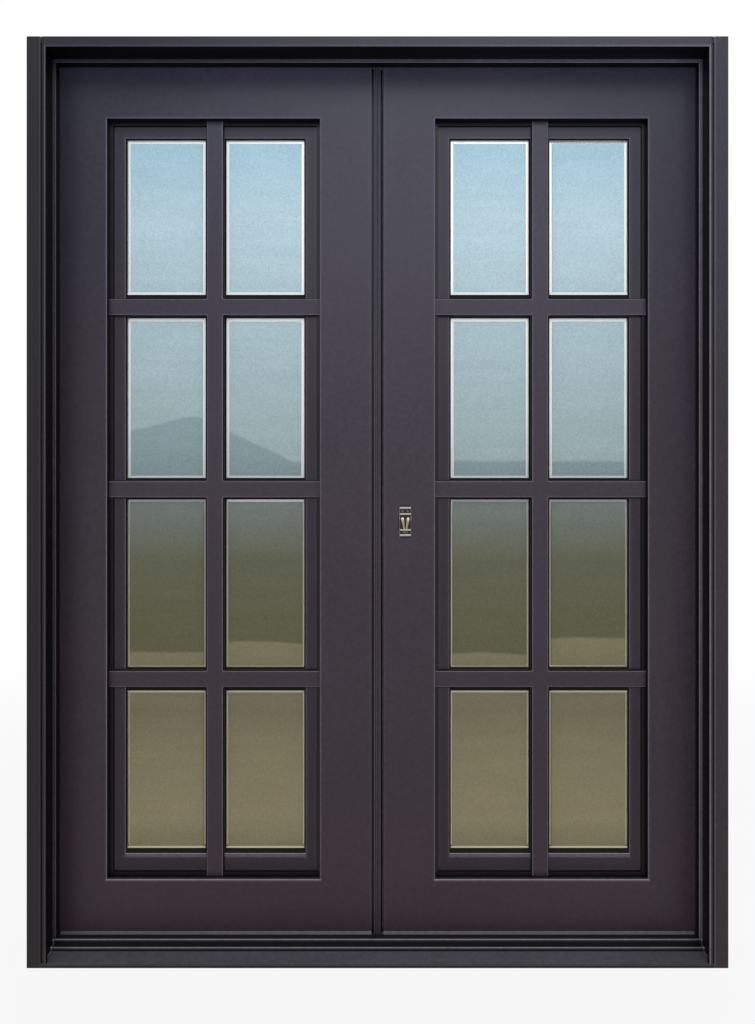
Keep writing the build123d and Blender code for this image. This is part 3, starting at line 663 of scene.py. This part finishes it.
metalLook = {
    "nickel": (168, 162, 158),
    "nickelRough": 0.32,
    "zinc": (165, 167, 170),
    "zincRough": 0.40,
    "brass": (176, 146, 84),
    "brassRough": 0.35,
    "grain": (600.0, 2.0, 0.6),
    "darkest": 0.85,
    "roughShare": 0.0375,
}


def plainMetal(name):
    # One metal tone with a fine cloudy grain in colour and gloss.
    finish = newFinish(name)
    grain = finish.noise(*metalLook["grain"])
    dark = tinted(metalLook[name], [metalLook["darkest"]] * 3)
    tone = finish.mix(grain, linear(*dark), linear(*metalLook[name]))
    rough = metalLook[f"{name}Rough"] + drift(grain, metalLook["roughShare"])
    return finish.close(finish.skin({"Base Color": tone, "Metallic": 1.0, "Roughness": rough}))


trimLook = {
    "dark": (34, 29, 27),
    # lobeTones: painted light on the cheeks, palest at their heads and darker lower down
    "lobeTones": [(0.0110, (222, 217, 208)), (0.0070, (205, 199, 187)), (0.0010, (158, 148, 128)),
                  (-0.0130, (142, 132, 112)), (-0.0190, (160, 152, 135))],
    "lobes": (-0.022, 0.014),
    "lobeSoft": 0.001,
    "lockHeight": 1.161,
    "depths": (0.0250, 0.0278),
    "depthDrift": 0.00025,
    "grain": (500.0, 3.0, 0.6),
    "grainShare": 0.075,
    "metallic": (1.0, 0.2),
    "roughness": (0.32, 0.62),
    "spindleEnd": 0.047,
    "spindleSoft": 0.002,
    "turnShare": 0.06,
    "turnRough": 0.39,
    "turnRoughShare": 0.025,
}


def trimMetal(name):
    # Aged nickel: pale on the raised bars, warmer on the two cheeks, which carry painted light, palest at
    # their heads and darker lower down, and dark patina in the depths.
    look = trimLook
    finish = newFinish(name)
    _, y, z = finish.axes()
    grain = finish.noise(*look["grain"])
    height = z - look["lockHeight"]
    cheeks = stripe(height, *look["lobes"], look["lobeSoft"])
    tone = finish.mix(cheeks, linear(*metalLook["nickel"]), finish.ramp(height, look["lobeTones"]))
    tone = finish.shade(tone, 1 + drift(grain, look["grainShare"]))
    deep = (y + drift(grain, look["depthDrift"])).between(*look["depths"])
    tone = finish.mix(deep, tone, linear(*look["dark"]))
    return finish.close(finish.skin({"Base Color": tone, "Metallic": blend(deep, *look["metallic"]),
                                     "Roughness": blend(deep, *look["roughness"])}))


def turnMetal(name):
    # Aged nickel; the spindle's front end is painted dark, as the shade inside the key slot.
    look = trimLook
    finish = newFinish(name)
    grain = finish.noise(*look["grain"])
    bright = finish.axes()[1].past(look["spindleEnd"], look["spindleSoft"])
    tone = finish.shade(linear(*metalLook["nickel"]), 1 + drift(grain, look["turnShare"]))
    tone = finish.mix(bright, linear(*look["dark"]), tone)
    rough = look["turnRough"] + drift(grain, look["turnRoughShare"])
    return finish.close(finish.skin({"Base Color": tone, "Metallic": bright, "Roughness": rough}))


rubberLook = {
    "tones": ((8, 7, 9), (17, 15, 17)),
    "grain": (300.0, 2.0, 0.6),
    "roughness": 0.75,
    "roughShare": 0.05,
    "shine": 0.2,
}


def plainRubber(name):
    # Black rubber between two near tones, with a fine grain in tone and gloss.
    finish = newFinish(name)
    grain = finish.noise(*rubberLook["grain"])
    tone = finish.mix(grain, *(linear(*tone) for tone in rubberLook["tones"]))
    rough = rubberLook["roughness"] + drift(grain, rubberLook["roughShare"])
    return finish.close(finish.skin({"Base Color": tone, "Roughness": rough,
                                     "Specular IOR Level": rubberLook["shine"]}))


tintLook = {
    "astragal": (0.96, 1.00, 1.00),
    "frame": (0.81, 0.82, 0.81),
    "sash": (0.82, 0.80, 0.83),
    # The ledges and the sill are tinted lighter as painted light, the sill also bluer, since their tops face up
    "ledge": (1.75, 1.95, 1.90),
    "sill": (1.66, 2.12, 1.94),
}

leafPaint = bronzePaint("leafPaint", paintedLight=leafPaintedLight)
astragalPaint = bronzePaint("astragalPaint", tintLook["astragal"], astragalPaintedLight)
grillePaint = bronzePaint("grillePaint", paintedLight=grillePaintedLight)
framePaint = bronzePaint("framePaint", tintLook["frame"], revealPaintedLight)
sashPaint = bronzePaint("sashPaint", tintLook["sash"], sashPaintedLight)
ledgePaint = bronzePaint("ledgePaint", tintLook["ledge"])
sillPaint = bronzePaint("sillPaint", tintLook["sill"], sillPaintedLight)
paneGlass = outerGlass("paneGlass")
clearGlass = innerGlass("clearGlass")
spacerBright = spacerMetal("spacerBright")
nickel = plainMetal("nickel")
zinc = plainMetal("zinc")
brass = plainMetal("brass")
agedTrim = trimMetal("agedTrim")
agedTurn = turnMetal("agedTurn")
rubber = plainRubber("rubber")

slotFinish = {"paint": leafPaint, "sash_paint": sashPaint, "glass": paneGlass, "spacer": spacerBright,
              "seal": rubber, "nickel": nickel, "steel": zinc, "brass": brass}
for entry in record["subparts"]:
    dress(slotFinish[entry["material_slot"]], entry["node"])
dress(framePaint, "jamb_left", "jamb_right", "head", "jamb_beads", "head_bead", "jamb_stops", "head_stop")
dress(sillPaint, "sill_plate", "threshold")
dress(grillePaint, "left_grille", "right_grille")
dress(astragalPaint, "astragal")
dress(clearGlass, "left_inner_panes", "right_inner_panes")
dress(agedTrim, "lock_trim")
dress(agedTurn, "lock_turn")
print("finishes on", len(nodes), "pieces")


# New pieces as grids of points

def gridFaces(rows, columns, closedRows=False):
    # Quads between neighbouring points of a grid. They go on round from the last column to the first, and
    # also from the last row to the first where the rows are closed.
    row = np.arange(rows if closedRows else rows - 1)
    low, left = (part.ravel() for part in np.meshgrid(row, np.arange(columns), indexing="ij"))
    high, right = (low + 1) % rows, (left + 1) % columns
    corners = [low * columns + left, low * columns + right, high * columns + right, high * columns + left]
    return np.stack(corners, axis=1)


def makePiece(name, grids, faces, body, material, smooth):
    # grids is an array of copies by rows by columns by 3; faces are those of one grid.
    copies, points = len(grids), grids.reshape(-1, 3)
    count = grids.shape[1] * grids.shape[2]
    every = (faces[None] + (np.arange(copies) * count)[:, None, None]).reshape(-1, faces.shape[1])
    mesh = bpy.data.meshes.new(name)
    mesh.from_pydata(points.tolist(), [], every.tolist())
    mesh.update()
    mesh.validate()
    mesh.polygons.foreach_set("use_smooth", [smooth] * len(mesh.polygons))
    piece = bpy.data.objects.new(name, mesh)
    bpy.context.scene.collection.objects.link(piece)
    mesh.materials.append(material)
    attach(piece, body)


# Glazing gaskets; the outside ones also stand in for shade

gasketLook = {
    "columns": ((0.200, 0.425), (0.475, 0.700)),
    "rows": ((0.229, 0.700), (0.750, 1.225), (1.275, 1.729), (1.779, 2.225)),
    "outside": ((0.0, 0.0525), (0.3, 0.0523), (1.0, 0.0552), (1.0, 0.0559), (0.0, 0.0559)),
    "inside": ((0.0, 0.0751), (0.62, 0.0751), (0.62, 0.0758), (0.25, 0.0782), (0.0, 0.0784)),
    "width": 0.0040,
    # The outside gaskets take their own widths along the foot and the head of each row; their black also stands
    # in for the shade round each lite.
    "lowWidths": (0.0215, 0.0045, 0.0065, 0.0125),
    "highWidths": (0.0105, 0.0035, 0.0024, 0.0030),
}


def makeGaskets(side, sign, which):
    # Each gasket is a small closed profile carried round the four corners of an opening. A point of the
    # profile stands in from the edge by a share of that edge's width.
    profile = np.array(gasketLook[which])
    columns, rows = np.array(gasketLook["columns"]), np.array(gasketLook["rows"])
    plain = np.full((len(rows), 2), gasketLook["width"])
    shown = np.stack([gasketLook["lowWidths"], gasketLook["highWidths"]], axis=1)
    widths = shown if which == "outside" else plain
    turns = np.array([(0, 0), (1, 0), (1, 1), (0, 1)])
    inward = 1 - 2 * turns
    counts = np.meshgrid(np.arange(len(columns)), np.arange(len(rows)), indexing="ij")
    column, row = (part.ravel() for part in counts)
    share = profile[None, None, :, 0]
    across = columns[column][:, turns[:, 0], None] + inward[None, :, 0, None] * share * gasketLook["width"]
    reach = share * widths[row][:, turns[:, 1], None]
    upright = rows[row][:, turns[:, 1], None] + inward[None, :, 1, None] * reach
    depth = np.broadcast_to(profile[None, None, :, 1], across.shape)
    grids = np.stack([sign * across, depth, upright], axis=-1)
    faces = gridFaces(len(turns), len(profile), True)
    if sign > 0:
        faces = faces[:, ::-1]
    makePiece(f"{side}_gaskets_{which}", grids, faces, f"{side}_sash_frame", rubber, False)


# Painted ledges under the lowest lites

ledgeLook = {
    "profile": ((0.2290, 0.0511), (0.2300, 0.0509), (0.2368, 0.0514), (0.2376, 0.0522), (0.2290, 0.0522)),
}


def makeLedges(side, sign):
    # A profile of height and depth carried straight across each lite, from one upright bar to the next.
    profile = np.array(ledgeLook["profile"])
    ends = np.array(gasketLook["columns"])
    across = np.broadcast_to(ends[:, :, None], (len(ends), 2, len(profile)))
    depth = np.broadcast_to(profile[None, None, :, 1], across.shape)
    upright = np.broadcast_to(profile[None, None, :, 0], across.shape)
    grids = np.stack([sign * across, depth, upright], axis=-1)
    faces = gridFaces(2, len(profile))
    if sign > 0:
        faces = faces[:, ::-1]
    makePiece(f"{side}_ledges", grids, faces, f"{side}_sash_frame", ledgePaint, False)


# Screws

screwLook = {
    "radius": 0.0032,
    "height": 0.0013,
    "socket": 0.45,
    "socketDepth": 0.0008,
    "rim": 1.15,
    "dome": ((0.72, 0.93), (0.90, 0.75), (0.98, 0.45), (1.0, 0.0), (0.0, 0.0)),
    "spokes": 24,
    "proud": 0.00002,
}


def screwGrid():
    # Rings from the middle of a six-sided socket, over the rim and a low dome, down to the foot and back
    # to the axis below. Each ring has a share of the radius, a share of the height and how six-sided it is.
    socket, bottom = screwLook["socket"], 1 - screwLook["socketDepth"] / screwLook["height"]
    rings = [(0.0, bottom, 1), (socket, bottom, 1), (socket, 0.98, 1), (socket * screwLook["rim"], 1.0, 0.5)]
    rings = np.array(rings + [(reach, lift, 0) for reach, lift in screwLook["dome"]])
    turn = np.linspace(0, 2 * np.pi, screwLook["spokes"], endpoint=False)
    flatness = np.cos(np.pi / 6) / np.cos((turn + np.pi / 6) % (np.pi / 3) - np.pi / 6)
    spread = 1 + rings[:, 2:3] * (flatness[None] - 1)
    reach = screwLook["radius"] * rings[:, 0:1] * spread
    lift = screwLook["proud"] + screwLook["height"] * rings[:, 1:2] + 0 * turn[None]
    return reach * np.cos(turn), reach * np.sin(turn), lift


def makeScrews(name, places, facing, body, material):
    # facing gives the axis that the heads look along, 0 for X or 1 for Y, and its sign.
    first, second, lift = screwGrid()
    axis, sign = facing
    offset = np.zeros(first.shape + (3,))
    offset[..., axis] = sign * lift
    offset[..., 1 - axis] = first
    offset[..., 2] = second
    grids = np.array(places)[:, None, None, :] + offset[None]
    faces = gridFaces(*first.shape)
    if (sign > 0) == (axis == 0):
        faces = faces[:, ::-1]
    makePiece(name, grids, faces, body, material, False)


hardwareLook = {
    "facePlateX": 0.0145,
    "facePlateHeight": 1.161,
    "facePlateReach": 0.105,
    "strikeX": 0.0105,
    "strikeHeight": 1.149,
    "strikeReach": 0.037,
    "edgeY": 0.050,
    "roseBack": 0.084,
    "rosePlace": (0.0765, 1.1895),
    "roseReach": 0.018,
    "wingBack": 0.0805,
    "leafWingX": 0.755,
    "sashWingX": 0.726,
    "hingeHeights": (0.303, 1.2235, 2.144),
    "leafWingRun": (-0.023, -0.007),
    "sashWingRun": (0.0072, 0.0232),
}


def makeSashScrews(side, sign, onLeaf):
    # Two screws through the wing of each sash hinge, on the leaf's half or on the sash's half.
    run = hardwareLook["leafWingRun" if onLeaf else "sashWingRun"]
    x = sign * hardwareLook["leafWingX" if onLeaf else "sashWingX"]
    heights = [height + step for height in hardwareLook["hingeHeights"] for step in run]
    places = [(x, hardwareLook["wingBack"], height) for height in heights]
    body = f"{side}_leaf" if onLeaf else f"{side}_sash_frame"
    kind = "leaf" if onLeaf else "sash"
    makeScrews(f"{side}_{kind}_wing_screws", places, (1, 1), body, zinc)


# Weld beads round the wings of the big hinges

weldLook = {
    "leg": 0.0028,
    "ripple": 0.16,
    "pitch": 0.0045,
    "step": 0.0011,
    "cornerSteps": 6,
    "arc": 5,
    "back": 0.078,
    "leafEdge": 0.882,
    "leafWing": 0.034,
    "jambEdge": 0.885,
    "jambWing": 0.026,
    "knuckle": 0.055,
    "leafLift": 0.0024,
    "heights": (0.222, 0.886, 1.552, 2.216),
}


def weldPath(start, far, low, high):
    # Out along the lower edge, up the far edge and back along the upper edge of a wing; at the corners
    # the place stays and the outward way turns.
    outward = (math.copysign(1, far - start), 0.0)
    runs = [((start, low), (far, low), (0.0, -1.0)), ((far, low), (far, high), outward),
            ((far, high), (start, high), (0.0, 1.0))]
    places, ways = [], []
    for index, (begin, end, way) in enumerate(runs):
        length = math.dist(begin, end)
        share = np.linspace(0, 1, max(2, round(length / weldLook["step"])))[:, None]
        places.append(np.array(begin) * (1 - share) + np.array(end) * share)
        ways.append(np.repeat([way], len(share), axis=0))
        if index < len(runs) - 1:
            turn = np.linspace(0, np.pi / 2, weldLook["cornerSteps"] + 2)[1:-1, None]
            places.append(np.repeat([end], len(turn), axis=0))
            ways.append(np.array(way) * np.cos(turn) + np.array(runs[index + 1][2]) * np.sin(turn))
    return np.concatenate(places), np.concatenate(ways)


def weldGrid(start, far, low, high):
    # A quarter round in the corner between wing and wall; its legs swell and shrink along the bead and
    # close to nothing at both ends.
    places, ways = weldPath(start, far, low, high)
    count = len(places)
    along = np.arange(count) * weldLook["step"]
    leg = weldLook["leg"] * (1 + weldLook["ripple"] * np.abs(np.sin(np.pi * along / weldLook["pitch"])))
    leg[[0, -1]] = 0.0
    turn = np.linspace(0, np.pi / 2, weldLook["arc"])
    outward = np.concatenate([[0.0], np.cos(turn)])[None] * leg[:, None]
    lift = np.concatenate([[0.0], np.sin(turn)])[None] * leg[:, None]
    x = places[:, 0:1] + ways[:, 0:1] * outward
    z = places[:, 1:2] + ways[:, 1:2] * outward
    return np.stack([x, weldLook["back"] + lift, z], axis=-1)


def makeWelds(name, sign, onLeaf, body):
    # One bead round the wing of each big hinge, on the leaf or on the jamb.
    grids = []
    for height in weldLook["heights"]:
        if onLeaf:
            low = height + weldLook["leafLift"]
            start, far = weldLook["leafEdge"], weldLook["leafEdge"] - weldLook["leafWing"]
        else:
            low = height - weldLook["knuckle"]
            start, far = weldLook["jambEdge"], weldLook["jambEdge"] + weldLook["jambWing"]
        grids.append(weldGrid(sign * start, sign * far, low, low + weldLook["knuckle"]))
    grids = np.array(grids)
    faces = gridFaces(*grids.shape[1:3])
    if (sign > 0) == onLeaf:
        faces = faces[:, ::-1]
    makePiece(name, grids, faces, body, leafPaint, True)


for side, sign in (("left", -1), ("right", 1)):
    makeGaskets(side, sign, "outside")
    makeGaskets(side, sign, "inside")
    makeLedges(side, sign)
    makeSashScrews(side, sign, True)
    makeSashScrews(side, sign, False)
    makeWelds(f"{side}_leaf_welds", sign, True, f"{side}_leaf")
    makeWelds(f"{side}_jamb_welds", sign, False, "frame")
print("gaskets, ledges, sash screws and welds in place")


def platePlaces(x, middle, reach):
    # Above and below the middle of a plate in a leaf's edge.
    return [(x, hardwareLook["edgeY"], middle + way * reach) for way in (-1, 1)]


facePlate = [hardwareLook[key] for key in ("facePlateX", "facePlateHeight", "facePlateReach")]
makeScrews("face_plate_screws", platePlaces(*facePlate), (0, -1), "right_leaf", nickel)
strike = [hardwareLook[key] for key in ("strikeX", "strikeHeight", "strikeReach")]
makeScrews("strike_screws", platePlaces(*strike), (0, 1), "left_leaf", nickel)
roseX, roseZ = hardwareLook["rosePlace"]
rosePlaces = [(roseX + way * hardwareLook["roseReach"], hardwareLook["roseBack"], roseZ) for way in (-1, 1)]
makeScrews("rose_screws", rosePlaces, (1, 1), "right_leaf", nickel)
print("lock screws in place")


# Floor, light and camera

stageLook = {
    "floorSize": 14.0,
    "floorTone": (0.86, 0.86, 0.86, 1.0),
    "clearNear": 0.86,
    "clearFrom": 1.6,
    "clearTo": 5.0,
    "roomLight": 0.62,
    "keyPower": 60.0,
    "keyPlace": (0.5, -3.4, 3.9),
    "keySize": 3.0,
    "keyAim": (0.1, 0.0, 1.3),
}


def makeFloor():
    # A square of paper. Seen by the eye, a reflection or a look through glass it glows white, fully so from
    # some way out, and near the door it still takes a share of shadow.
    half = stageLook["floorSize"] / 2
    mesh = bpy.data.meshes.new("floor")
    corners = [(-half, -half, 0), (half, -half, 0), (half, half, 0), (-half, half, 0)]
    mesh.from_pydata(corners, [], [(0, 1, 2, 3)])
    floor = bpy.data.objects.new("floor", mesh)
    bpy.context.scene.collection.objects.link(floor)
    finish = newFinish("floorPaper")
    x, y, _ = finish.axes()
    away = (x * x + y * y) ** 0.5
    paper = finish.node("ShaderNodeBsdfDiffuse", {}, {"Color": stageLook["floorTone"]})()
    glow = finish.node("ShaderNodeEmission", {}, {"Strength": 1.0})()
    far = away.between(stageLook["clearFrom"], stageLook["clearTo"])
    share = blend(far, stageLook["clearNear"], 1) * finish.seen()
    mixed = finish.node("ShaderNodeMixShader", {}, {0: share, 1: paper, 2: glow})()
    mesh.materials.append(finish.close(mixed))


def makeWorld():
    # Even light on the door, and plain white wherever the surroundings are seen.
    world = bpy.data.worlds.new("studio")
    bpy.context.scene.world = world
    finish = Finish(world, "ShaderNodeOutputWorld")
    white = (1, 1, 1, 1)
    light = finish.node("ShaderNodeBackground", {}, {"Strength": stageLook["roomLight"], "Color": white})()
    clear = finish.node("ShaderNodeBackground", {}, {"Strength": 1.0, "Color": white})()
    finish.close(finish.node("ShaderNodeMixShader", {}, {0: finish.seen(), 1: light, 2: clear})())


def makeLamp():
    lamp = bpy.data.lights.new("keyPanel", "AREA")
    lamp.shape = "SQUARE"
    lamp.size = stageLook["keySize"]
    lamp.energy = stageLook["keyPower"]
    holder = bpy.data.objects.new("keyPanel", lamp)
    holder.location = stageLook["keyPlace"]
    way = Vector(stageLook["keyAim"]) - Vector(stageLook["keyPlace"])
    holder.rotation_euler = way.to_track_quat("-Z", "Y").to_euler()
    bpy.context.scene.collection.objects.link(holder)


cameraLook = {
    "place": (0.0, -2.028, 1.2325),
    "lens": 26.29,
    "sensor": 36.0,
    "lift": -0.0161,
    "nearest": 0.05,
}


def makeCamera():
    camera = bpy.data.cameras.new("camera")
    camera.lens = cameraLook["lens"]
    camera.sensor_width = cameraLook["sensor"]
    camera.shift_y = cameraLook["lift"]
    camera.clip_start = cameraLook["nearest"]
    holder = bpy.data.objects.new("camera", camera)
    holder.location = cameraLook["place"]
    holder.rotation_euler = (math.radians(90), 0, 0)
    bpy.context.scene.collection.objects.link(holder)
    bpy.context.scene.camera = holder


makeFloor()
makeWorld()
makeLamp()
makeCamera()
bpy.context.scene.view_settings.view_transform = "Standard"
print("stage ready")
